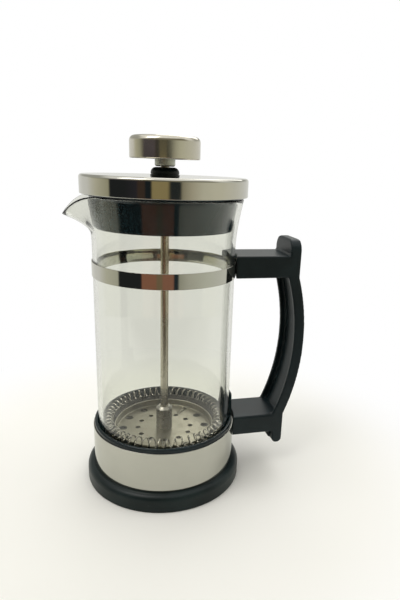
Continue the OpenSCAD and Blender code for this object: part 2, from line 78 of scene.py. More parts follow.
# ---------- shader maths ----------


class Wire:
    """One output of a node, with the arithmetic that the finishes need."""

    def __init__(self, sheet: "NodeSheet", socket: bpy.types.NodeSocket) -> None:
        """Wraps a socket of the sheet."""
        self.sheet = sheet
        self.socket = socket

    def maths(self, operation: str, *others: "Wire | float") -> "Wire":
        """Returns the result of a Math node whose first value is this one."""
        return self.sheet.node("ShaderNodeMath", {"operation": operation}, [self, *others])

    def __add__(self, other: "Wire | float") -> "Wire":
        """Returns self + other."""
        return self.maths("ADD", other)

    __radd__ = __add__

    def __mul__(self, other: "Wire | float") -> "Wire":
        """Returns self * other."""
        return self.maths("MULTIPLY", other)

    __rmul__ = __mul__

    def __sub__(self, other: "Wire | float") -> "Wire":
        """Returns self - other."""
        return self.maths("SUBTRACT", other)

    def __rsub__(self, other: float) -> "Wire":
        """Returns other - self."""
        return self.sheet.node("ShaderNodeMath", {"operation": "SUBTRACT"}, [other, self])

    def __truediv__(self, other: "Wire | float") -> "Wire":
        """Returns self / other."""
        return self.maths("DIVIDE", other)

    def sine(self) -> "Wire":
        """Returns the sine."""
        return self.maths("SINE")

    def root(self) -> "Wire":
        """Returns the square root."""
        return self.maths("SQRT")

    def ramp(self, low: float, high: float, to_low: float = 0.0, to_high: float = 1.0) -> "Wire":
        """Returns a smooth step from to_low at low to to_high at high."""
        settings = {"interpolation_type": "SMOOTHSTEP"}
        return self.sheet.node("ShaderNodeMapRange", settings, [self, low, high, to_low, to_high])

    def blend(self, first: "Wire | Colour", second: "Wire | Colour") -> "Wire":
        """Returns a colour between first, where this value is 0, and second, where it is 1."""
        settings = {"data_type": "RGBA"}
        values = {"Factor": self, 6: rgba(first), 7: rgba(second)}
        return self.sheet.node("ShaderNodeMix", settings, values, 2)


class NodeSheet:
    """A node tree that is filled from Python."""

    def __init__(self, tree: bpy.types.NodeTree) -> None:
        """Empties the tree and wraps it."""
        tree.nodes.clear()
        self.tree = tree

    def node(
        self, kind: str, settings: dict[str, Any] | None = None,
        values: dict[str | int, Any] | Sequence[Any] = (), output: int | str = 0
    ) -> Wire:
        """Adds any node.

        Args:
            kind: The node's type.
            settings: Its properties, set first; "stops" are a ramp's (place, colour) pairs.
            values: The numbers, colours or wires of its inputs, by name or place.
            output: Which output to return.

        Returns:
            The chosen output.
        """
        made = self.tree.nodes.new(kind)
        for key, value in (settings or {}).items():
            if key == "stops":
                self._stops(made.color_ramp, value)
            else:
                setattr(made, key, value)
        pairs = values.items() if isinstance(values, dict) else enumerate(values)
        for key, value in pairs:
            if isinstance(value, Wire):
                self.tree.links.new(value.socket, made.inputs[key])
            else:
                made.inputs[key].default_value = value
        return Wire(self, made.outputs[output]) if made.outputs else Wire(self, None)

    @staticmethod
    def _stops(ramp: bpy.types.ColorRamp, stops: Sequence[tuple[float, Colour]]) -> None:
        """Gives a colour ramp its stops."""
        while len(ramp.elements) < len(stops):
            ramp.elements.new(0.5)
        for element, (place, colour) in zip(ramp.elements, stops):
            element.position = place
            element.color = rgba(colour)

    def place(self, scale: Sequence[float] = (1, 1, 1)) -> Wire:
        """Returns object coordinates in metres, scaled."""
        coordinates = self.node("ShaderNodeTexCoord", output="Object")
        return self.node("ShaderNodeVectorMath", {"operation": "MULTIPLY"}, [coordinates, scale])

    def split(self, vector: Wire) -> tuple[Wire, Wire, Wire]:
        """Returns a vector's three numbers."""
        made = self.node("ShaderNodeSeparateXYZ", values=[vector]).socket.node
        return tuple(Wire(self, out) for out in made.outputs)

    def noise(self, vector: Wire, scale: float, detail: float = 2.0, rough: float = 0.5) -> Wire:
        """Returns a noise between 0 and 1 at the vector."""
        values = {"Vector": vector, "Scale": scale, "Detail": detail, "Roughness": rough}
        return self.node("ShaderNodeTexNoise", values=values)

    def straight_through(self) -> Wire:
        """Returns 1 for what is seen through glass with no reflection on the way, else 0."""
        seen = self.node("ShaderNodeLightPath", output="Is Transmission Ray")
        mirrored = self.node("ShaderNodeLightPath", output="Glossy Depth")
        return seen * mirrored.ramp(0.4, 0.6, 1.0, 0.0)

    def bump(self, height: Wire, depth_mm: float) -> Wire:
        """Returns a normal that a height of 0 to 1 bends, with the real depth in millimetres."""
        values = {"Height": height, "Strength": 1.0, "Distance": depth_mm * MM}
        return self.node("ShaderNodeBump", values=values)


def rgba(colour: "Wire | Sequence[float]") -> Any:
    """Returns a colour with its fourth number, or the wire as it is."""
    return colour if isinstance(colour, Wire) else (*colour[:3], 1.0)


# ---------- finishes ----------


@dataclass(frozen=True)
class Finish:
    """What all finishes share: a name, the record's slot and one shader."""

    name: str
    slot: str
    colour: Colour

    def material(self) -> bpy.types.Material:
        """Returns the material, made once."""
        made = bpy.data.materials.get(self.name)
        if made is None:
            made = bpy.data.materials.new(self.name)
            made.use_nodes = True
            sheet = NodeSheet(made.node_tree)
            surface = self.surface(sheet)
            sheet.node("ShaderNodeOutputMaterial", values={"Surface": surface})
            made.diffuse_color = rgba(self.colour)
        return made

    def surface(self, sheet: NodeSheet) -> Wire:
        """Returns the shader; each kind of finish has its own."""
        raise NotImplementedError

    def principled(self, sheet: NodeSheet, **values: Any) -> Wire:
        """Returns a Principled shader; an underscore in a name stands for a space."""
        named = {key.replace("_", " "): value for key, value in values.items()}
        return sheet.node("ShaderNodeBsdfPrincipled", values=named)


@dataclass(frozen=True)
class PolishedSheet(Finish):
    """Mirror-polished stainless sheet with faint rolling waves and a trace of handling."""

    roughness: float = 0.045
    wave_mm: float = 0.012

    def surface(self, sheet: NodeSheet) -> Wire:
        """Returns the shader."""
        place = sheet.place()
        haze = sheet.noise(place, 90, 4, 0.6)
        dust = sheet.noise(place, 900, 2, 0.5).ramp(0.62, 0.75)
        roughness = self.roughness + 0.05 * haze.ramp(0.45, 0.75) + 0.06 * dust
        tint = haze.ramp(0.3, 0.8).blend(self.colour, tuple(0.95 * c for c in self.colour))
        waves = sheet.bump(sheet.noise(place, 60, 1, 0.4), self.wave_mm)
        return self.principled(sheet, Base_Color=tint, Metallic=1.0, Roughness=roughness, Normal=waves)


class Lay(Enum):
    """The way the fine lines of a worked metal run."""

    TURNED = "turned"
    DRAWN = "drawn"
    ROLLED = "rolled"


@dataclass(frozen=True)
class WorkedSteel(Finish):
    """Satin steel whose fine lines follow the way it was worked."""

    lay: Lay = Lay.TURNED
    roughness: float = 0.26
    line_mm: float = 0.004
    stain: float = 0.15

    def surface(self, sheet: NodeSheet) -> Wire:
        """Returns the shader."""
        place = sheet.place()
        x, y, z = sheet.split(place)
        if self.lay is Lay.TURNED:
            radius = (x * x + y * y).root()
            ring = sheet.node("ShaderNodeCombineXYZ", values=[radius * 7000, z * 7000, 0.0])
            lines = sheet.noise(ring, 1, 3, 0.7)
        elif self.lay is Lay.DRAWN:
            lines = sheet.noise(sheet.place((5000, 5000, 60)), 1, 2, 0.6)
        else:
            lines = sheet.noise(sheet.place((150, 4000, 4000)), 1, 2, 0.6)
        cloud = sheet.noise(place, 140, 4, 0.6)
        dark = tuple((1 - self.stain) * c for c in self.colour)
        colour = cloud.ramp(0.35, 0.75).blend(self.colour, dark)
        roughness = self.roughness + 0.1 * (lines - 0.5) + 0.08 * cloud.ramp(0.4, 0.8)
        normal = sheet.bump(lines, self.line_mm)
        return self.principled(sheet, Base_Color=colour, Metallic=1.0, Roughness=roughness, Normal=normal)


@dataclass(frozen=True)
class WovenWire(Finish):
    """Fine plain-weave steel cloth."""

    pitch_mm: float = 0.42
    roughness: float = 0.34

    def surface(self, sheet: NodeSheet) -> Wire:
        """Returns the shader."""
        x, y, _ = sheet.split(sheet.place())
        turn = math.pi / (self.pitch_mm * MM)
        over = (x * turn).sine() * (y * turn).sine()
        wires = ((x * 2 * turn).sine() + (y * 2 * turn).sine()) * 0.25 + 0.5
        height = over.ramp(-0.6, 0.6) * 0.6 + wires * 0.4
        # The weave's low points, where one wire dips under the next, are painted darker: painted shade in
        # the weave's hollows.
        colour = height.ramp(0.2, 0.7).blend(tuple(0.35 * c for c in self.colour), self.colour)
        normal = sheet.bump(height, 0.08)
        return self.principled(
            sheet, Base_Color=colour, Metallic=1.0, Roughness=self.roughness, Normal=normal
        )


@dataclass(frozen=True)
class Moulded(Finish):
    """Moulded plastic with a fine grain, faint flow marks and a little wear."""

    roughness: float = 0.3
    grain_mm: float = 0.006
    dust: float = 0.04
    shine: float = 0.28

    def surface(self, sheet: NodeSheet) -> Wire:
        """Returns the shader."""
        place = sheet.place()
        grain = sheet.noise(place, 2600, 2, 0.55)
        flow = sheet.noise(place, 45, 3, 0.5)
        specks = sheet.noise(place, 1500, 1, 0.4).ramp(0.68, 0.78)
        light = tuple(min(1.0, c * 1.7 + 0.004) for c in self.colour)
        base = flow.ramp(0.35, 0.75).blend(self.colour, light)
        dusty = (specks * self.dust).blend(base, (0.3, 0.3, 0.28))
        roughness = self.roughness + 0.12 * (flow - 0.5) + 0.1 * specks
        normal = sheet.bump(grain, self.grain_mm)
        return self.principled(
            sheet, Base_Color=dusty, Roughness=roughness, Specular_IOR_Level=self.shine, Normal=normal
        )


@dataclass(frozen=True)
class ClearGlass(Finish):
    """Clear glass with a faint tint, which lets lamp light through."""

    ior: float = 1.47
    shade: Colour = (0.93, 0.94, 0.91)

    def surface(self, sheet: NodeSheet) -> Wire:
        """Returns the shader."""
        film = sheet.noise(sheet.place(), 40, 3, 0.5)
        glass = self.principled(
            sheet, Base_Color=rgba(self.colour), Roughness=film.ramp(0.62, 0.9, 0.0, 0.02), IOR=self.ior,
            Transmission_Weight=1.0
        )
        lamp = sheet.node("ShaderNodeLightPath", output="Is Shadow Ray")
        clear = sheet.node("ShaderNodeBsdfTransparent", values={"Color": rgba(self.shade)})
        return sheet.node("ShaderNodeMixShader", values=[lamp, glass, clear])


class Finishes:
    """The press's own finishes."""

    foot = Moulded("satin black plastic", "black_plastic", (0.005, 0.0115, 0.0125), 0.34)
    grip = Moulded("handle plastic", "handle_plastic", (0.006, 0.0135, 0.017), 0.36, 0.004)
    plug = Moulded(
        "glossy black plastic", "gloss_black_plastic", (0.004, 0.0105, 0.0135), 0.14, 0.001, 0.02, 0.3
    )
    mirror = PolishedSheet("polished steel", "polished_steel", (0.57, 0.56, 0.51))
    satin = WorkedSteel("satin steel", "satin_steel", (0.62, 0.59, 0.51), Lay.TURNED, 0.13, 0.001, 0.06)
    neck = WorkedSteel("bead-blasted steel", "satin_steel", (0.66, 0.68, 0.61), Lay.TURNED, 0.42)
    rod = WorkedSteel("drawn steel", "drawn_steel", (0.60, 0.56, 0.47), Lay.DRAWN, 0.24)
    hub = WorkedSteel("turned hub steel", "drawn_steel", (0.40, 0.38, 0.34), Lay.TURNED, 0.24)
    plate = WorkedSteel("filter steel", "filter_steel", (0.34, 0.32, 0.255), Lay.ROLLED, 0.3)
    wire = WorkedSteel("spring steel", "spring_steel", (0.52, 0.50, 0.44), Lay.ROLLED, 0.16)
    zinc = WorkedSteel("zinc plated steel", "zinc_steel", (0.62, 0.62, 0.60), Lay.ROLLED, 0.36)
    cloth = WovenWire("woven steel", "woven_steel", (0.09, 0.085, 0.075))
    glass = ClearGlass("clear glass", "clear_glass", (0.95, 0.955, 0.92))


# ---------- meshes ----------


@dataclass(frozen=True)
class Span:
    """A node's reach in the frame, in millimetres."""

    low: Vector
    high: Vector

    @property
    def radius(self) -> float:
        """The radius of a round node on the beaker's axis."""
        return max(self.high.y, -self.low.y)

    @property
    def bottom(self) -> float:
        """The lowest height."""
        return self.low.z

    @property
    def top(self) -> float:
        """The greatest height."""
        return self.high.z


def span(node: str) -> Span:
    """Returns where a CAD node is, in millimetres."""
    low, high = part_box(node)
    return Span(low / MM, high / MM)


def arc_corner(before: Point, corner: Corner, after: Point, steps: int = 6) -> list[Point]:
    """Rounds one corner of an outline.

    Args:
        before: The outline's point before the corner.
        corner: The corner and its radius.
        after: The outline's point after the corner.
        steps: How many pieces the arc has.

    Returns:
        The points that take the corner's place.
    """
    place = Vector(corner[:2])
    radius = corner[2]
    to_before, to_after = Vector(before) - place, Vector(after) - place
    if radius <= 0 or to_before.length < 1e-9 or to_after.length < 1e-9:
        return [tuple(place)]
    to_before.normalize(), to_after.normalize()
    half = to_before.angle(to_after) / 2
    if half > math.pi / 2 - 0.02:
        return [tuple(place)]
    reach = radius / math.tan(half)
    middle = place + (to_before + to_after).normalized() * (radius / math.sin(half))
    start, end = place + to_before * reach - middle, place + to_after * reach - middle
    turn = start.angle_signed(end)
    return [tuple(middle + rotated(start, -turn * i / steps)) for i in range(steps + 1)]


def rotated(vector: Vector, angle: float) -> Vector:
    """Returns a flat vector turned to the left by an angle in radians."""
    cosine, sine = math.cos(angle), math.sin(angle)
    return Vector((vector.x * cosine - vector.y * sine, vector.x * sine + vector.y * cosine))


def rounded(corners: Sequence[Corner], closed: bool = True, steps: int = 6) -> list[Point]:
    """Returns an outline whose corners are rounded by their own radii."""
    points: list[Point] = []
    count = len(corners)
    for i, corner in enumerate(corners):
        if not closed and i in (0, count - 1):
            points.append(corner[:2])
            continue
        points += arc_corner(corners[i - 1][:2], corner, corners[(i + 1) % count][:2], steps)
    return supported(points) if closed else points


def supported(points: Sequence[Point]) -> list[Point]:
    """Returns a closed outline whose long straight runs shade flat right up to their ends."""
    kept: list[Point] = []
    for here, there in zip(points, [*points[1:], points[0]]):
        kept.append(here)
        run = Vector(there) - Vector(here)
        if run.length > LONG_RUN and max(here[0], there[0]) > SUPPORT:
            step = run.normalized() * SUPPORT
            kept += [tuple(Vector(here) + step), tuple(Vector(there) - step)]
    return kept


def finish_mesh(made: bmesh.types.BMesh, name: str, sharp: float = SHARP_ANGLE) -> bpy.types.Object:
    """Closes, turns outwards, shades and links a mesh.

    Args:
        made: The mesh, in metres, which is freed.
        name: The piece's name.
        sharp: The angle above which an edge stays sharp.

    Returns:
        The new object, at the origin.
    """
    bmesh.ops.remove_doubles(made, verts=made.verts, dist=1e-6)
    bmesh.ops.dissolve_degenerate(made, edges=made.edges, dist=1e-8)
    bmesh.ops.recalc_face_normals(made, faces=made.faces)
    for face in made.faces:
        face.smooth = True
    for edge in made.edges:
        edge.smooth = not edge.is_manifold or edge.calc_face_angle(0) < sharp
    mesh = bpy.data.meshes.new(name)
    made.to_mesh(mesh)
    made.free()
    piece = bpy.data.objects.new(name, mesh)
    bpy.context.scene.collection.objects.link(piece)
    return piece


def lathe(name: str, outline: Sequence[Point], sides: int = TURNED_SIDES) -> bpy.types.Object:
    """Turns a closed outline of (radius, height) points around the beaker's axis."""
    made = bmesh.new()
    rings = []
    for turn in range(sides):
        angle = 2 * math.pi * turn / sides
        cosine, sine = math.cos(angle), math.sin(angle)
        rings.append([made.verts.new((r * cosine * MM, r * sine * MM, z * MM)) for r, z in outline])
    count = len(outline)
    for turn in range(sides):
        here, there = rings[turn], rings[(turn + 1) % sides]
        for i in range(count):
            j = (i + 1) % count
            if outline[i][0] < 1e-6 and outline[j][0] < 1e-6:
                continue
            made.faces.new((here[i], there[i], there[j], here[j]))
    return finish_mesh(made, name)


def turned(
    name: str, corners: Sequence[Corner], steps: int = 6, sides: int = TURNED_SIDES
) -> bpy.types.Object:
    """Turns an outline with rounded corners around the beaker's axis."""
    return lathe(name, rounded(corners, steps=steps), sides)


def sweep(
    name: str, path: Sequence[Point], thick: float, low: float, high: float, edge: float
) -> bpy.types.Object:
    """Makes an upright strip that follows an open path seen from above.

    Args:
        name: The piece's name.
        path: The middle line's points.
        thick: The sheet's thickness.
        low: The height of the lower edge.
        high: The height of the upper edge.
        edge: The radius of the strip's edges.

    Returns:
        The strip.
    """
    half = thick / 2
    outline = rounded(
        [(-half, low, edge), (half, low, edge), (half, high, edge), (-half, high, edge)], steps=3
    )
    made = bmesh.new()
    rows = []
    for i, point in enumerate(path):
        before, after = Vector(path[max(i - 1, 0)]), Vector(path[min(i + 1, len(path) - 1)])
        along = (after - before).normalized()
        side = Vector((along.y, -along.x))
        rows.append(
            [
                made.verts.new(
                    ((point[0] + side.x * o) * MM, (point[1] + side.y * o) * MM, z * MM)
                )
                for o, z in outline
            ]
        )
    count = len(outline)
    for here, there in zip(rows, rows[1:]):
        for i in range(count):
            j = (i + 1) % count
            made.faces.new((here[i], there[i], there[j], here[j]))
    made.faces.new(rows[0])
    made.faces.new(list(reversed(rows[-1])))
    return finish_mesh(made, name)


def dress(piece: bpy.types.Object, finish: Finish) -> None:
    """Gives a piece one finish all over."""
    material = finish.material()
    if piece.data.materials:
        for i in range(len(piece.data.materials)):
            piece.data.materials[i] = material
    else:
        piece.data.materials.append(material)


def mount(piece: bpy.types.Object, body: str, finish: Finish, *nodes: str) -> bpy.types.Object:
    """Dresses a finished piece, lets it ride on its body and hides the nodes it stands for."""
    dress(piece, finish)
    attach(piece, body)
    if nodes:
        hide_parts(*nodes)
    faces = sum(len(polygon.vertices) - 2 for polygon in piece.data.polygons)
    log.info("%s: %d triangles on %s, %s", piece.name, faces, body, finish.name)
    return piece


# ---------- geometry nodes ----------


class GrownTree:
    """A Geometry Nodes tree with named inputs, whose result becomes a plain mesh."""

    def __init__(self, name: str, with_geometry: bool = False) -> None:
        """Starts an empty tree with an output."""
        self.tree = bpy.data.node_groups.new(name, "GeometryNodeTree")
        self.identifiers: dict[str, str] = {}
        self.given: dict[str, Any] = {}
        if with_geometry:
            self.tree.interface.new_socket("Geometry", in_out="INPUT", socket_type="NodeSocketGeometry")
        self.tree.interface.new_socket("Geometry", in_out="OUTPUT", socket_type="NodeSocketGeometry")
        self.source = self.tree.nodes.new("NodeGroupInput")
        self.sink = self.tree.nodes.new("NodeGroupOutput")

    def size(self, name: str, value: float | int) -> bpy.types.NodeSocket:
        """Adds a named input and returns its socket inside the tree."""
        kind = "NodeSocketInt" if isinstance(value, int) else "NodeSocketFloat"
        socket = self.tree.interface.new_socket(name, in_out="INPUT", socket_type=kind)
        self.identifiers[name] = socket.identifier
        self.given[name] = value
        return self.source.outputs[name]

    def add(
        self, kind: str, settings: dict[str, Any] | None = None,
        values: dict[str | int, Any] | Sequence[Any] = ()
    ) -> bpy.types.NodeSocket:
        """Adds a node with its settings and its inputs' values or links; returns its output."""
        made = self.tree.nodes.new(kind)
        for key, value in (settings or {}).items():
            setattr(made, key, value)
        pairs = values.items() if isinstance(values, dict) else enumerate(values)
        for key, value in pairs:
            if isinstance(value, bpy.types.NodeSocket):
                self.tree.links.new(value, made.inputs[key])
            else:
                made.inputs[key].default_value = value
        return made.outputs[0]

    def shape(
        self, kind: str, settings: dict[str, Any] | None = None, **values: Any
    ) -> bpy.types.NodeSocket:
        """Adds a geometry node; an underscore in an input's name stands for a space."""
        named = {key.replace("_", " "): value for key, value in values.items()}
        return self.add(f"GeometryNode{kind}", settings, named)

    def maths(self, operation: str, *values: Any) -> bpy.types.NodeSocket:
        """Returns the output of a Math node."""
        return self.add("ShaderNodeMath", {"operation": operation}, values)

    def vector(self, *values: Any) -> bpy.types.NodeSocket:
        """Returns a vector of three numbers or sockets."""
        return self.add("ShaderNodeCombineXYZ", values=values)

    def grow(
        self, name: str, shape: bpy.types.NodeSocket, finish: Finish, base: bpy.types.Mesh | None
    ) -> bpy.types.Object:
        """Ends the tree, evaluates it and keeps the result as a plain mesh.

        Args:
            name: The piece's name.
            shape: The socket that gives the geometry.
            finish: The finish that the tree sets.
            base: The mesh that the tree starts from, or None.

        Returns:
            The piece, with no modifier left on it.
        """
        real = self.add("GeometryNodeRealizeInstances", values=[shape])
        coat = self.shape("SetMaterial", Geometry=real)
        coat.node.inputs["Material"].default_value = finish.material()
        self.tree.links.new(coat, self.sink.inputs[0])
        holder = bpy.data.objects.new(name, base or bpy.data.meshes.new(name))
        bpy.context.scene.collection.objects.link(holder)
        modifier = holder.modifiers.new(name, "NODES")
        modifier.node_group = self.tree
        for key, value in self.given.items():
            modifier[self.identifiers[key]] = value
        bpy.context.view_layer.update()
        graph = bpy.context.evaluated_depsgraph_get()
        mesh = bpy.data.meshes.new_from_object(holder.evaluated_get(graph))
        holder.modifiers.remove(modifier)
        bpy.data.objects.remove(holder)
        made = bmesh.new()
        made.from_mesh(mesh)
        bpy.data.meshes.remove(mesh)
        return finish_mesh(made, name)


# ---------- sub-assemblies ----------


@dataclass
class Beaker:
    """The glass: a tube with a flared rim and a pulled spout."""

    wall: float = 1.9
    floor: float = 2.5
    foot_round: float = 3.0
    well_round: float = 4.0
    rim_r: float = 38.2
    tube_r: float = 35.0
    flare_h: float = 22.0
    flare_power: float = 1.5
    spout_reach: float = 10.4
    spout_drop: float = 8.8
    spout_gain: float = 0.2
    half_angle: float = 34.0
    edge: float = 0.85
    sides: int = 216
    flare_steps: int = 22
    rim_steps: int = 10

    def __post_init__(self) -> None:
        """Reads the levels from the frame."""
        where = span("glass_beaker")
        self.bottom, self.top = where.bottom, where.top
        self.flare_z = self.top - self.flare_h
        self.root_z = self.flare_z + 0.2 * self.flare_h

    def lip(self, angle: float) -> float:
        """Returns 1 in the middle of the spout and 0 beyond its ends."""
        if abs(angle) >= self.half_angle:
            return 0.0
        return math.cos(math.radians(90 * angle / self.half_angle)) ** 2

    def rim_height(self, angle: float) -> float:
        """Returns the rim's height at an angle from the spout."""
        return self.top - self.spout_drop * self.lip(angle) ** 2

    def flare(self, z: float) -> float:
        """Returns how far the wall has flared at a height."""
        out = self.rim_r - self.tube_r
        return out * max(0.0, (z - self.flare_z) / self.flare_h) ** self.flare_power

    def rise(self, angle: float, z: float) -> float:
        """Returns the share of the spout that is reached at a height."""
        return max(0.0, (z - self.root_z) / (self.rim_height(angle) - self.root_z)) ** 1.75

    def outer(self, angle: float, z: float) -> float:
        """Returns the outer radius."""
        full = self.rim_r + self.spout_reach - self.tube_r - self.flare(self.top - self.spout_drop)
        return self.tube_r + self.flare(z) + self.lip(angle) * full * self.rise(angle, z)

    def inner(self, angle: float, z: float) -> float:
        """Returns the inner radius."""
        thick = self.wall * (1 + self.spout_gain * self.lip(angle) * self.rise(angle, z))
        return self.outer(angle, z) - thick

    def section(self, angle: float) -> list[Point]:
        """Returns the wall's open section, from the underside's edge round to the floor's edge."""
        top = self.rim_height(angle)
        shoulder = top - self.edge
        levels = [
            self.flare_z + (shoulder - self.flare_z) * i / self.flare_steps
            for i in range(self.flare_steps + 1)
        ]
        foot, well, floor_z = self.foot_round, self.well_round, self.bottom + self.floor
        points = [
            (
                self.tube_r - foot + foot * math.sin(math.radians(15 * i)),
                self.bottom + foot * (1 - math.cos(math.radians(15 * i)))
            ) for i in range(7)
        ]
        points += [(self.outer(angle, z), z) for z in levels]
        for i in range(1, self.rim_steps):
            turn = math.pi * i / self.rim_steps
            z = shoulder + self.edge * math.sin(turn)
            out, inside = self.outer(angle, z), self.inner(angle, z)
            points.append(((out + inside + (out - inside) * math.cos(turn)) / 2, z))
        points += [(self.inner(angle, z), z) for z in reversed(levels)]
        in_r = self.tube_r - self.wall
        points += [
            (
                in_r - well + well * math.sin(math.radians(15 * i)),
                floor_z + well * (1 - math.cos(math.radians(15 * i)))
            ) for i in range(6, -1, -1)
        ]
        return points

    def build(self) -> bpy.types.Object:
        """Returns the beaker's closed shell."""
        made = bmesh.new()
        columns = []
        for side in range(self.sides):
            turn = 360 * side / self.sides
            angle = turn - 360 if turn > 180 else turn
            cosine, sine = math.cos(math.radians(turn)), math.sin(math.radians(turn))
            columns.append(
                [made.verts.new((-r * cosine * MM, -r * sine * MM, z * MM)) for r, z in self.section(angle)]
            )
        under = made.verts.new((0, 0, self.bottom * MM))
        floor = made.verts.new((0, 0, (self.bottom + self.floor) * MM))
        for here, there in zip(columns, columns[1:] + columns[:1]):
            for i in range(len(here) - 1):
                made.faces.new((here[i], there[i], there[i + 1], here[i + 1]))
            made.faces.new((under, there[0], here[0]))
            made.faces.new((floor, here[-1], there[-1]))
        return finish_mesh(made, "beaker_glass", math.radians(60))

    def dress(self) -> None:
        """Mounts the glass."""
        mount(self.build(), "beaker", Finishes.glass, "glass_beaker")


@dataclass
class Base:
    """The foot, its cup with a tab, and the polished band between them."""

    band_gauge: float = 0.5
    band_edge: float = 0.2
    foot_round: float = 3.4
    foot_floor: float = 2.5
    foot_wall: float = 4.0
    groove: float = 0.6
    cup_wall: float = 1.7
    lip_h: float = 2.2
    tab_w: float = 16.0
    tab_gauge: float = 1.4
    ribs: int = 6
    rib_w: float = 1.6
    rib_start: float = 9.0
    rib_low: float = 1.3
    rib_bite: float = 0.1

    def __post_init__(self) -> None:
        """Reads the levels from the frame."""
        self.foot, self.cup, self.band = span("base_foot"), span("base_cup"), span("base_band")
        self.floor_top = self.cup.bottom
        self.cup_in = self.cup.radius - self.cup_wall
        self.lip_z = self.band.top + self.lip_h

    def build_foot(self) -> bpy.types.Object:
        """Returns the foot, with the groove beside the band and the hollow underneath."""
        r, top, floor = self.foot.radius, self.foot.top, self.floor_top
        seat_r, band_r = self.band.radius - self.band_gauge, self.band.radius
        under = r - self.foot_wall
        return turned(
            "foot",
            [
                (0, floor, 0), (0, floor - self.foot_floor, 0), (under, floor - self.foot_floor, 0.5),
                (under, 0, 0.4), (r, 0, 0.7), (r, top, self.foot_round),
                (band_r + self.groove, top - 0.05, 0.15), (band_r + self.groove, top - self.groove, 0.1),
                (band_r, top - self.groove, 0.05), (band_r, top, 0.05), (seat_r, top, 0.05),
                (seat_r, floor, 0.05)
            ],
            steps=8
        )

    def build_ribs(self) -> bpy.types.Object:
        """Returns the ribs under the foot's floor."""
        grown = GrownTree("foot ribs")
        end, top = self.foot.radius - self.foot_wall, self.floor_top - self.foot_floor + self.rib_bite
        reach = grown.size("Reach", (end - self.rib_start + 2 * self.rib_bite) * MM)
        start = grown.size("Start", self.rib_start * MM)
        height = grown.size("Height", (top - self.rib_low) * MM)
        level = grown.size("Level", (top + self.rib_low) / 2 * MM)
        count = grown.size("Count", self.ribs)
        size = grown.vector(reach, self.rib_w * MM, height)
        box = grown.shape("MeshCube", Size=size)
        middle = grown.maths("ADD", grown.maths("MULTIPLY", reach, 0.5), start)
        out = grown.vector(middle, 0.0, level)
        moved = grown.shape("Transform", Geometry=box, Translation=out)
        points = grown.shape("MeshLine", {"mode": "OFFSET"}, Count=count, Offset=(0.0, 0.0, 0.0))
        index = grown.shape("InputIndex")
        turn = grown.maths("DIVIDE", grown.maths("MULTIPLY", index, math.tau), count)
        angles = grown.vector(0.0, 0.0, turn)
        ribs = grown.shape("InstanceOnPoints", Points=points, Instance=moved, Rotation=angles)
        return grown.grow("foot_ribs", ribs, Finishes.foot, None)

    def build_cup(self) -> bpy.types.Object:
        """Returns the cup's wall with its round lip."""
        out, inside = self.cup.radius, self.cup_in
        return turned(
            "cup",
            [
                (inside, self.floor_top, 0.1), (out, self.floor_top, 0.1), (out, self.lip_z, 0.8),
                (inside, self.lip_z, 0.6)
            ]
        )

    def build_tab(self) -> bpy.types.Object:
        """Returns the tab on the cup at the handle, which follows the cup's round."""
        inside, low, top = self.cup_in, self.lip_z - 1.5, self.cup.top
        half = self.tab_w / 2
        outline = rounded(
            [
                (-half, low, 0), (half, low, 0), (half, self.lip_z + 1, 1.0), (half * 2 / 3, top, 1.6),
                (-half * 2 / 3, top, 1.6), (-half, self.lip_z + 1, 1.0)
            ],
            steps=5
        )
        made = bmesh.new()
        walls = []
        for r, inset in (
            (inside, 0.25), (inside + 0.25, 0.0), (inside + self.tab_gauge - 0.3, 0.0),
            (inside + self.tab_gauge, 0.3)
        ):
            ring = []
            for across, z in outline:
                shrink = 1 - inset / half
                angle = across * shrink / inside
                height = low + (z - low) * (1 - inset / (top - low))
                ring.append(
                    made.verts.new((r * math.cos(angle) * MM, r * math.sin(angle) * MM, height * MM))
                )
            walls.append(ring)
        count = len(outline)
        for here, there in zip(walls, walls[1:]):
            for i in range(count):
                j = (i + 1) % count
                made.faces.new((here[i], there[i], there[j], here[j]))
        for ring in (walls[0], walls[-1]):
            made.faces.new(ring)
        return finish_mesh(made, "cup_tab")

    def build_band(self) -> bpy.types.Object:
        """Returns the band of polished sheet."""
        r, low, top = self.band.radius, self.band.bottom, self.band.top
        inside, edge = r - self.band_gauge, self.band_edge
        return turned(
            "base_band_sheet", [(inside, low, edge), (r, low, edge), (r, top, edge), (inside, top, edge)]
        )

    def dress(self) -> None:
        """Mounts the base."""
        mount(self.build_foot(), "stand", Finishes.foot, "base_foot")
        mount(self.build_ribs(), "stand", Finishes.foot)
        mount(self.build_cup(), "stand", Finishes.plug, "base_cup")
        mount(self.build_tab(), "stand", Finishes.plug)
        mount(self.build_band(), "stand", Finishes.mirror, "base_band")


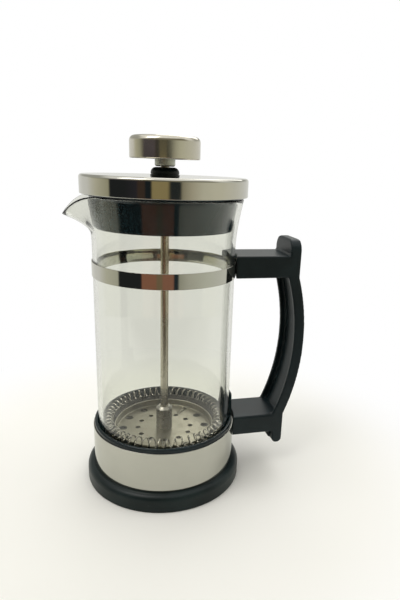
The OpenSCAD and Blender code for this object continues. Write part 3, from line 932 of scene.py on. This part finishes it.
@dataclass
class Clamp:
    """The band round the glass, whose ears the clamp screw pulls together."""

    gauge: float = 0.4
    edge: float = 0.14
    ear_gap: float = 4.0
    bend: float = 1.2
    steps: int = 240

    def __post_init__(self) -> None:
        """Reads the band's place from the frame."""
        self.band = span("clamp_band")

    def path(self) -> list[Point]:
        """Returns the middle line from the end of one ear round to the end of the other."""
        r = self.band.radius - self.gauge / 2
        ear_y = self.ear_gap / 2 + self.gauge / 2
        start = math.asin((ear_y + self.bend) / r)
        round_part = [
            (r * math.cos(a), r * math.sin(a)) for a in (
                start + (2 * math.pi - 2 * start) * i / self.steps for i in range(self.steps + 1)
            )
        ]
        end_x = self.band.high.x
        corner_x = round_part[0][0] + self.bend
        ear = [(end_x, ear_y), (corner_x, ear_y)]
        corner = [
            (
                corner_x - self.bend * math.sin(math.radians(a)),
                ear_y + self.bend * (1 - math.cos(math.radians(a)))
            ) for a in (20, 40, 60, 75)
        ]
        first = ear + corner
        last = [(x, -y) for x, y in reversed(first)]
        return first + round_part + last

    def dress(self) -> None:
        """Mounts the band; the nut and the screw are dressed with the hardware."""
        band = sweep("clamp_sheet", self.path(), self.gauge, self.band.bottom, self.band.top, self.edge)
        mount(band, "stand", Finishes.mirror, "clamp_band")


@dataclass
class Handle:
    """The moulded handle with its softened edges."""

    voxel_mm: float = 0.42
    soften: int = 4

    def build(self, source: bpy.types.Object) -> bpy.types.Object:
        """Returns the handle with its edges rounded as a mould leaves them."""
        made = bmesh.new()
        made.from_mesh(source.data)
        bmesh.ops.remove_doubles(made, verts=made.verts, dist=1e-6)
        mesh = bpy.data.meshes.new("handle_grip")
        made.to_mesh(mesh)
        made.free()
        piece = bpy.data.objects.new("handle_grip", mesh)
        bpy.context.scene.collection.objects.link(piece)
        remesh = piece.modifiers.new("even", "REMESH")
        remesh.mode, remesh.voxel_size = "VOXEL", self.voxel_mm * MM
        smooth = piece.modifiers.new("soften", "SMOOTH")
        smooth.factor, smooth.iterations = 0.5, self.soften
        bpy.context.view_layer.update()
        graph = bpy.context.evaluated_depsgraph_get()
        plain = bpy.data.meshes.new_from_object(piece.evaluated_get(graph))
        bpy.data.objects.remove(piece)
        made = bmesh.new()
        made.from_mesh(plain)
        bpy.data.meshes.remove(plain)
        return finish_mesh(made, "handle_grip", math.radians(80))

    def dress(self, nodes: dict[str, bpy.types.Object]) -> None:
        """Mounts the handle."""
        mount(self.build(nodes["handle"]), "stand", Finishes.grip, "handle")


@dataclass
class Lid:
    """The drawn cover, its plug and the rod's bushing."""

    gauge: float = 0.7
    edge_round: float = 1.4
    hem: float = 0.35
    plug_disc: float = 3.0
    plug_wall: float = 2.2
    plug_gap: float = 0.5
    boss_r: float = 9.0
    plug_above_rim: float = 0.3
    plug_edge: float = 0.4
    plug_bevel: float = 0.8
    press_fit: float = 0.05
    seam: float = 0.25
    ring_h: float = 0.9
    bushing_round: float = 2.6
    sleeve_wall: float = 1.42

    def __post_init__(self) -> None:
        """Reads the levels from the frame."""
        self.cover, self.plug, self.bushing = span("lid_cover"), span("lid_plug"), span("rod_bushing")
        self.rod_r = span("plunger_rod").radius + ROD_FIT
        self.sleeve_r = self.rod_r + self.sleeve_wall

    def build_cover(self) -> bpy.types.Object:
        """Returns the cover: a flat top, a rolled edge and a plain rim with a small hem."""
        r, low, top, gauge = self.cover.radius, self.cover.bottom, self.cover.top, self.gauge
        hole = self.sleeve_r + self.press_fit
        return turned(
            "lid_sheet",
            [
                (hole, top, 0), (hole, top - gauge, 0), (r - gauge, top - gauge, self.edge_round - gauge),
                (r - gauge, low + self.hem, 0.1), (r - gauge - self.hem, low + self.hem, 0.12),
                (r - gauge - self.hem, low, 0.12), (r, low, 0.3), (r, top, self.edge_round)
            ],
            steps=8, sides=TURNED_SIDES + 64
        )

    def build_plug(self, glass: Beaker) -> bpy.types.Object:
        """Returns the plug, whose skirt follows the glass's flare."""
        low, top_z = self.plug.bottom, glass.top + self.plug_above_rim
        in_r = glass.tube_r - glass.wall
        steps, start = 14, low + self.plug_edge
        skirt = [
            (in_r + glass.flare(min(z, glass.top)) - self.plug_gap, z)
            for z in (start + (top_z - start) * i / steps for i in range(steps + 1))
        ]
        inner = in_r + glass.flare(low) - self.plug_gap - self.plug_wall
        bore = self.sleeve_r + self.press_fit
        bevel, lift = self.plug_bevel, self.plug_above_rim
        outline = [(bore, self.plug.top), (bore, top_z), (inner - bevel, top_z), (inner, top_z - bevel)]
        outline += [(inner, low + lift), (inner + lift, low), (skirt[0][0] - self.plug_edge, low)]
        outline += skirt
        outline += rounded(
            [
                (skirt[-1][0], top_z, 0), (self.plug.radius, top_z, 0.3),
                (self.plug.radius, top_z + self.plug_disc, 0.5), (self.boss_r, top_z + self.plug_disc, 0.4),
                (self.boss_r, self.plug.top, 0.3), (bore, self.plug.top, 0)
            ],
            closed=False
        )[1:-1]
        return lathe("lid_plug_moulding", outline)

    def build_bushing(self) -> bpy.types.Object:
        """Returns the bushing: a ring on the lid, a fine seam, a domed collar and a sleeve."""
        r, top, base = self.bushing.radius, self.bushing.top, self.cover.top
        body = r - 0.15
        outline = rounded(
            [
                (self.rod_r, self.bushing.bottom, 0), (self.sleeve_r, self.bushing.bottom, 0.2),
                (self.sleeve_r, base, 0), (r, base, 0.1), (r, base + self.ring_h - self.seam, 0.2),
                (r - 0.4, base + self.ring_h - self.seam, 0), (r - 0.4, base + self.ring_h, 0),
                (body, base + self.ring_h, 0.15), (body, top, self.bushing_round), (self.rod_r, top, 0.2)
            ],
            steps=10
        )
        return lathe("rod_collar", outline, 96)

    def dress(self, glass: Beaker) -> None:
        """Mounts the lid."""
        mount(self.build_cover(), "lid", Finishes.mirror, "lid_cover")
        mount(self.build_plug(glass), "lid", Finishes.plug, "lid_plug")
        mount(self.build_bushing(), "lid", Finishes.foot, "rod_bushing")


@dataclass
class Plunger:
    """The rod with its knob and neck."""

    edge: float = 2.4
    under_edge: float = 0.5
    gauge: float = 0.8
    neck_round: float = 1.0
    crown: float = 0.12

    def build_rod(self) -> bpy.types.Object:
        """Returns the rod."""
        rod = span("plunger_rod")
        r, low, top = rod.radius, rod.bottom, rod.top
        return turned("rod", [(0, low, 0), (r, low, 0.4), (r, top, 0.4), (0, top, 0)], sides=64)

    def build_knob(self) -> bpy.types.Object:
        """Returns the knob's turned shell, very slightly crowned."""
        where = span("knob_shell")
        r, low, top, gauge = where.radius, where.bottom, where.top, self.gauge
        outline = rounded(
            [
                (0, top, 0), (0, top - gauge, 0), (r - gauge, top - gauge - self.crown, self.edge - gauge),
                (r - gauge, low, 0.15), (r, low, self.under_edge), (r, top - self.crown, self.edge)
            ],
            steps=12
        )
        return lathe("knob_turned_shell", outline)

    def build_neck(self) -> bpy.types.Object:
        """Returns the neck under the knob."""
        where = span("knob_neck")
        r, low, top = where.radius, where.bottom, where.top
        bore = span("plunger_rod").radius + ROD_FIT
        return turned(
            "knob_collar", [(bore, low, 0.1), (r, low, self.neck_round), (r, top, 0), (bore, top, 0)],
            sides=96
        )

    def dress(self) -> None:
        """Mounts the rod on the plunger, and the knob and neck on the knob."""
        mount(self.build_rod(), "plunger", Finishes.rod, "plunger_rod")
        mount(self.build_knob(), "knob", Finishes.satin, "knob_shell")
        mount(self.build_neck(), "knob", Finishes.neck, "knob_neck")


@dataclass
class Filter:
    """The hub, the perforated plate, the coiled edge spring and the woven screen."""

    hub_bevel: float = 1.3
    hub_floor: float = 0.6
    stud_wall: float = 0.3
    plate_rim: float = 0.9
    punch_depth: float = 4.0
    plate_gauge: float = 0.8
    holes: int = 12
    outer_hole_r: float = 2.15
    outer_ring: float = 22.3
    inner_hole_r: float = 1.35
    inner_ring: float = 14.3
    turn_deg: float = -6.0
    wire: float = 0.6
    turns: int = 52
    screen_gauge: float = 0.5

    def __post_init__(self) -> None:
        """Reads the levels from the frame."""
        self.hub, self.plate = span("filter_hub"), span("filter_plate")
        self.spring, self.screen = span("edge_spring"), span("filter_screen")

    def build_hub(self) -> bpy.types.Object:
        """Returns the hub with its stud."""
        r, low, top = self.hub.radius, self.plate.bottom + self.plate_gauge, self.hub.top
        rod = span("plunger_rod").radius
        bore, stud = rod + ROD_FIT, rod + self.stud_wall
        return turned(
            "hub",
            [
                (0, low + self.hub_floor, 0), (0, self.hub.bottom, 0), (stud, self.hub.bottom, 0.3),
                (stud, low, 0), (r, low, 0.1), (r, top - self.hub_bevel, 0.15),
                (r - self.hub_bevel, top, 0.1), (bore, top, 0.1), (bore, low + self.hub_floor, 0)
            ],
            steps=4, sides=96
        )

    def solid_plate(self) -> bpy.types.Mesh:
        """Returns the dished plate before it is punched."""
        low, gauge, r = self.plate.bottom, self.plate_gauge, self.plate.radius
        flat, stud = r - self.plate_rim, span("plunger_rod").radius + STUD_FIT
        piece = turned(
            "plate_blank",
            [
                (stud, low + gauge, 0), (stud, low, 0), (flat + gauge, low, 1.1), (r, self.plate.top, 0.3),
                (r - gauge, self.plate.top, 0.3), (flat, low + gauge, 0.6)
            ],
            steps=5, sides=144
        )
        mesh = piece.data
        bpy.data.objects.remove(piece)
        return mesh

    def build_plate(self) -> bpy.types.Object:
        """Returns the plate with two rings of punched holes."""
        grown = GrownTree("punched plate", with_geometry=True)
        count = grown.size("Holes", self.holes)
        level = grown.size("Level", (self.plate.bottom + self.plate_gauge / 2) * MM)
        turn = grown.size("Turn", math.radians(self.turn_deg))
        punches = []
        for name, ring_r, hole_r in (
            ("Outer", self.outer_ring, self.outer_hole_r), ("Inner", self.inner_ring, self.inner_hole_r)
        ):
            ring = grown.size(f"{name} Ring", ring_r * MM)
            hole = grown.size(f"{name} Hole", hole_r * MM)
            circle = grown.shape("MeshCircle", Vertices=count, Radius=ring)
            punch = grown.shape("MeshCylinder", Vertices=40, Radius=hole, Depth=self.punch_depth * MM)
            set_out = grown.shape("InstanceOnPoints", Points=circle, Instance=punch)
            angles = grown.vector(0.0, 0.0, turn)
            height = grown.vector(0.0, 0.0, level)
            placed = grown.shape("Transform", Geometry=set_out, Translation=height, Rotation=angles)
            punches.append(grown.add("GeometryNodeRealizeInstances", values=[placed]))
        cut = grown.shape("MeshBoolean", {"operation": "DIFFERENCE"})
        grown.tree.links.new(grown.source.outputs["Geometry"], cut.node.inputs["Mesh 1"])
        for punch in punches:
            grown.tree.links.new(punch, cut.node.inputs["Mesh 2"])
        return grown.grow("filter_disc", cut, Finishes.plate, self.solid_plate())

    def build_spring(self) -> bpy.types.Object:
        """Returns the wire that coils round the plate's edge and closes on itself."""
        coil_r = (self.spring.top - self.spring.bottom) / 2 - self.wire / 2
        ring_r = self.spring.radius - coil_r - self.wire / 2
        grown = GrownTree("edge coil")
        ring = grown.size("Ring Radius", ring_r * MM)
        coil = grown.size("Coil Radius", coil_r * MM)
        wire = grown.size("Wire Radius", self.wire / 2 * MM)
        level = grown.size("Level", (self.spring.top + self.spring.bottom) / 2 * MM)
        turns = grown.size("Turns", self.turns)
        per_turn = grown.size("Points per Turn", 28)
        total = grown.maths("MULTIPLY", turns, per_turn)
        line = grown.shape("CurvePrimitiveCircle", {"mode": "RADIUS"}, Resolution=total)
        index = grown.shape("InputIndex")
        around = grown.maths("DIVIDE", grown.maths("MULTIPLY", index, math.tau), total)
        wind = grown.maths("MULTIPLY", around, turns)
        reach = grown.maths("ADD", ring, grown.maths("MULTIPLY", coil, grown.maths("COSINE", wind)))
        up = grown.maths("ADD", level, grown.maths("MULTIPLY", coil, grown.maths("SINE", wind)))
        place = grown.vector(
            grown.maths("MULTIPLY", reach, grown.maths("COSINE", around)),
            grown.maths("MULTIPLY", reach, grown.maths("SINE", around)), up
        )
        bent = grown.shape("SetPosition", Geometry=line, Position=place)
        section = grown.shape("CurvePrimitiveCircle", {"mode": "RADIUS"}, Resolution=8, Radius=wire)
        tube = grown.shape("CurveToMesh", Curve=bent, Profile_Curve=section)
        return grown.grow("edge_coil", tube, Finishes.wire, None)

    def build_screen(self) -> bpy.types.Object:
        """Returns the dished woven screen."""
        r, low, top, gauge = (self.screen.radius, self.screen.bottom, self.screen.top, self.screen_gauge)
        flat, stud = self.plate.radius + 0.1, span("plunger_rod").radius + STUD_FIT
        return turned(
            "screen_cloth",
            [
                (stud, low + gauge, 0), (stud, low, 0), (flat, low, 2.0), (r, top - gauge, 0.1),
                (r, top, 0.1), (flat, low + gauge, 2.0)
            ],
            steps=4, sides=144
        )

    def dress(self) -> None:
        """Mounts the filter."""
        mount(self.build_hub(), "filter", Finishes.hub, "filter_hub")
        mount(self.build_plate(), "filter", Finishes.plate, "filter_plate")
        mount(self.build_spring(), "filter", Finishes.wire, "edge_spring")
        mount(self.build_screen(), "filter", Finishes.cloth, "filter_screen")


@dataclass
class Hardware:
    """The small metal and plastic pieces that keep their CAD shapes."""

    finishes: dict[str, Finish] = field(
        default_factory=lambda: {
            "base_screws": Finishes.zinc, "clamp_nut": Finishes.zinc, "clamp_screw": Finishes.zinc,
            "bushing_nut": Finishes.zinc, "knob_insert": Finishes.foot, "cross_plate": Finishes.plate,
            "filter_nut": Finishes.hub
        }
    )

    def dress(self, nodes: dict[str, bpy.types.Object]) -> None:
        """Gives each kept node its finish."""
        for name, finish in self.finishes.items():
            dress(nodes[name], finish)
            log.info("%s: kept, %s", name, finish.name)


# ---------- studio ----------


@dataclass
class Studio:
    """A pale floor, a soft room and the camera."""

    eye: tuple[float, float, float] = (-34.70, -246.16, 163.65)
    heading_deg: float = 14.71
    pitch_deg: float = 17.01
    roll_deg: float = 2.15
    lens_mm: float = 30.04
    shift: Point = (-0.0344, 0.0311)
    floor_reach: float = 300.0
    # floor_grey is the near floor as every ray but the camera's sees it, darker than the camera's pale
    # floor: painted shade.
    floor_grey: Colour = (0.78, 0.79, 0.745)
    far_white: Colour = (0.79, 0.79, 0.755)
    low_wall: tuple[Stretch, ...] = (
        (0.200, 0.200, (0.62, 0.62, 0.50)), (0.267, 0.267, (0.52, 0.52, 0.42)),
        (0.274, 0.378, (0.02, 0.022, 0.023)), (0.383, 0.440, (0.29, 0.135, 0.083)),
        (0.447, 0.466, (0.21, 0.155, 0.09)), (0.471, 0.514, (0.29, 0.14, 0.09)),
        (0.519, 0.534, (0.025, 0.035, 0.04)), (0.540, 0.540, (0.40, 0.40, 0.32)),
        (0.579, 0.579, (0.53, 0.53, 0.445)), (0.661, 0.661, (0.63, 0.65, 0.555))
    )
    middle_wall: tuple[Stretch, ...] = (
        (0.200, 0.200, (0.62, 0.60, 0.47)), (0.262, 0.262, (0.43, 0.41, 0.29)),
        (0.270, 0.330, (0.02, 0.022, 0.023)), (0.376, 0.376, (0.03, 0.028, 0.034)),
        (0.382, 0.405, (0.055, 0.037, 0.028)), (0.410, 0.428, (0.015, 0.02, 0.023)),
        (0.434, 0.487, (0.33, 0.265, 0.127)), (0.498, 0.533, (0.025, 0.03, 0.03)),
        (0.540, 0.540, (0.33, 0.30, 0.21)), (0.575, 0.575, (0.52, 0.48, 0.36)),
        (0.620, 0.620, (0.66, 0.64, 0.51)), (0.700, 0.700, (0.71, 0.69, 0.555))
    )
    high_wall: tuple[Stretch, ...] = (
        (0.180, 0.180, (0.54, 0.53, 0.40)), (0.234, 0.234, (0.38, 0.38, 0.29)),
        (0.262, 0.262, (0.20, 0.19, 0.15)), (0.285, 0.385, (0.105, 0.09, 0.10)),
        (0.398, 0.415, (0.055, 0.052, 0.045)), (0.430, 0.500, (0.10, 0.095, 0.067)),
        (0.540, 0.540, (0.25, 0.25, 0.195)), (0.575, 0.575, (0.43, 0.43, 0.335)),
        (0.620, 0.620, (0.56, 0.56, 0.44))
    )

    def build_floor(self) -> None:
        """Lays the floor."""
        made = bmesh.new()
        bmesh.ops.create_circle(made, cap_ends=True, segments=96, radius=self.floor_reach * MM)
        floor = finish_mesh(made, "floor")
        material = bpy.data.materials.new("pale floor")
        material.use_nodes = True
        sheet = NodeSheet(material.node_tree)
        place = sheet.place()
        seen = sheet.node("ShaderNodeLightPath", output="Is Camera Ray")
        tone = sheet.noise(place, 6, 2, 0.5).ramp(0.3, 0.7)
        pale = tone.blend((0.93, 0.925, 0.90), (0.95, 0.945, 0.92))
        # Every ray but the camera's sees the near floor in floor_grey: painted shade in the floor's
        # reflections and in the light it sends back.
        colour = seen.blend(self.floor_grey, pale)
        near = sheet.node("ShaderNodeBsdfPrincipled", values={"Base Color": colour, "Roughness": 0.7})
        x, y, _ = sheet.split(place)
        distance = (x * x + y * y).root()
        # The far floor glows though it is no lamp: plain white for the camera, and for other rays a glowing
        # stand-in for the room, painted dark towards the viewer and far_white elsewhere: painted light and
        # painted shade.
        room = y.ramp(-0.20, -0.05).blend((0.07, 0.06, 0.055), self.far_white)
        room = sheet.straight_through().blend(room, self.far_white)
        white = seen.blend(room, (1.0, 1.0, 1.0))
        far = sheet.node("ShaderNodeEmission", values={"Color": white})
        surface = sheet.node("ShaderNodeMixShader", values=[distance.ramp(0.10, 0.19), near, far])
        sheet.node("ShaderNodeOutputMaterial", values={"Surface": surface})
        floor.data.materials.append(material)

    def wall(self, sheet: NodeSheet, around: Wire, stretches: Sequence[Stretch]) -> Wire:
        """Colours one level of the room's walls.

        Args:
            sheet: The world's node sheet.
            around: How far round the room, from 0 to 1, with the viewer near the middle.
            stretches: Where each plain stretch starts and ends, and its colour.

        Returns:
            The colour.
        """
        stops = [
            (place, colour) for start, end,
            colour in (
                (0.0, 0.14, self.far_white), *stretches, (0.86, 1.0, self.far_white)
            ) for place in dict.fromkeys((start, end))
        ]
        return sheet.node("ShaderNodeValToRGB", {"stops": stops}, {"Fac": around})

    def build_room(self) -> None:
        """Surrounds the press with a soft room: bright above and behind, darker by the viewer."""
        world = bpy.data.worlds.new("room")
        world.use_nodes = True
        bpy.context.scene.world = world
        sheet = NodeSheet(world.node_tree)
        direction = sheet.node("ShaderNodeTexCoord", output="Generated")
        x, y, z = sheet.split(direction)
        around = x.maths("ARCTAN2", y * -1.0) / math.tau + 0.5
        low, middle, high = (
            self.wall(sheet, around, stretches)
            for stretches in (self.low_wall, self.middle_wall, self.high_wall)
        )
        walls = z.ramp(-0.155, -0.135).blend(low, middle)
        walls = z.ramp(-0.015, 0.01).blend(walls, high)
        ceiling = (1.05, 1.04, 1.0)
        lit = z.ramp(0.2, 0.55).blend(walls, ceiling)
        upper = z.ramp(0.06, 0.3) * z.ramp(0.6, 0.75, 1.0, 0.0)
        lit = (upper * y.ramp(0.0, 0.35)).blend(lit, (0.46, 0.46, 0.42))
        lit = (upper * y.ramp(-0.5, -0.2, 1.0, 0.0)).blend(lit, (0.24, 0.22, 0.16))
        lit = (sheet.straight_through() * y.ramp(-0.3, -0.1, 1.0, 0.0)).blend(lit, self.far_white)
        seen = sheet.node("ShaderNodeLightPath", output="Is Camera Ray").blend(lit, (1.0, 1.0, 1.0))
        glow = sheet.node("ShaderNodeBackground", values={"Color": seen, "Strength": 1.0})
        sheet.node("ShaderNodeOutputWorld", values={"Surface": glow})

    def build_lamps(self) -> None:
        """Hangs two soft boxes."""
        for name, place, size, power, tint in (
            ("key", (-500.0, -250.0, 900.0), 500.0, 2.2, (1.0, 0.98, 0.94)),
            ("rear", (350.0, 650.0, 800.0), 700.0, 2.5, (1.0, 0.99, 0.97))
        ):
            data = bpy.data.lights.new(name, "AREA")
            data.shape, data.size = "SQUARE", size * MM
            data.energy, data.color = power, tint
            lamp = bpy.data.objects.new(name, data)
            bpy.context.scene.collection.objects.link(lamp)
            at = Vector(place) * MM
            aim = Vector((0, 0, 80 * MM)) - at
            lamp.rotation_euler = aim.to_track_quat("-Z", "Y").to_euler()
            lamp.location = at

    def build_camera(self) -> None:
        """Sets the camera up at the viewer's eye."""
        heading, pitch, roll = (math.radians(a) for a in (self.heading_deg, self.pitch_deg, self.roll_deg))
        ahead = Vector(
            (math.sin(heading) * math.cos(pitch), math.cos(heading) * math.cos(pitch), -math.sin(pitch))
        )
        level = Vector((math.cos(heading), -math.sin(heading), 0))
        upright = level.cross(ahead)
        right = level * math.cos(roll) + upright * math.sin(roll)
        up = right.cross(ahead)
        data = bpy.data.cameras.new("camera")
        data.sensor_fit, data.sensor_height, data.lens = "VERTICAL", 36.0, self.lens_mm
        data.shift_x, data.shift_y = self.shift
        data.clip_start, data.clip_end = 0.01, 50.0
        camera = bpy.data.objects.new("camera", data)
        bpy.context.scene.collection.objects.link(camera)
        turn = Matrix((right, up, -ahead)).transposed().to_4x4()
        camera.matrix_world = Matrix.Translation(Vector(self.eye) * MM) @ turn
        bpy.context.scene.camera = camera

    def build(self) -> None:
        """Builds the floor, the room, the lamps and the camera."""
        self.build_floor()
        self.build_room()
        self.build_lamps()
        self.build_camera()
        bpy.context.scene.view_settings.view_transform = "Standard"


def main() -> None:
    """Builds and dresses the press, piece by piece."""
    logging.basicConfig(level=logging.INFO, format="%(name)s %(message)s")
    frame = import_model()
    nodes = frame["nodes"]
    glass = Beaker()
    glass.dress()
    Base().dress()
    Clamp().dress()
    Handle().dress(nodes)
    Lid().dress(glass)
    Plunger().dress()
    Filter().dress()
    Hardware().dress(nodes)
    Studio().build()


if __name__ == "__main__":
    main()
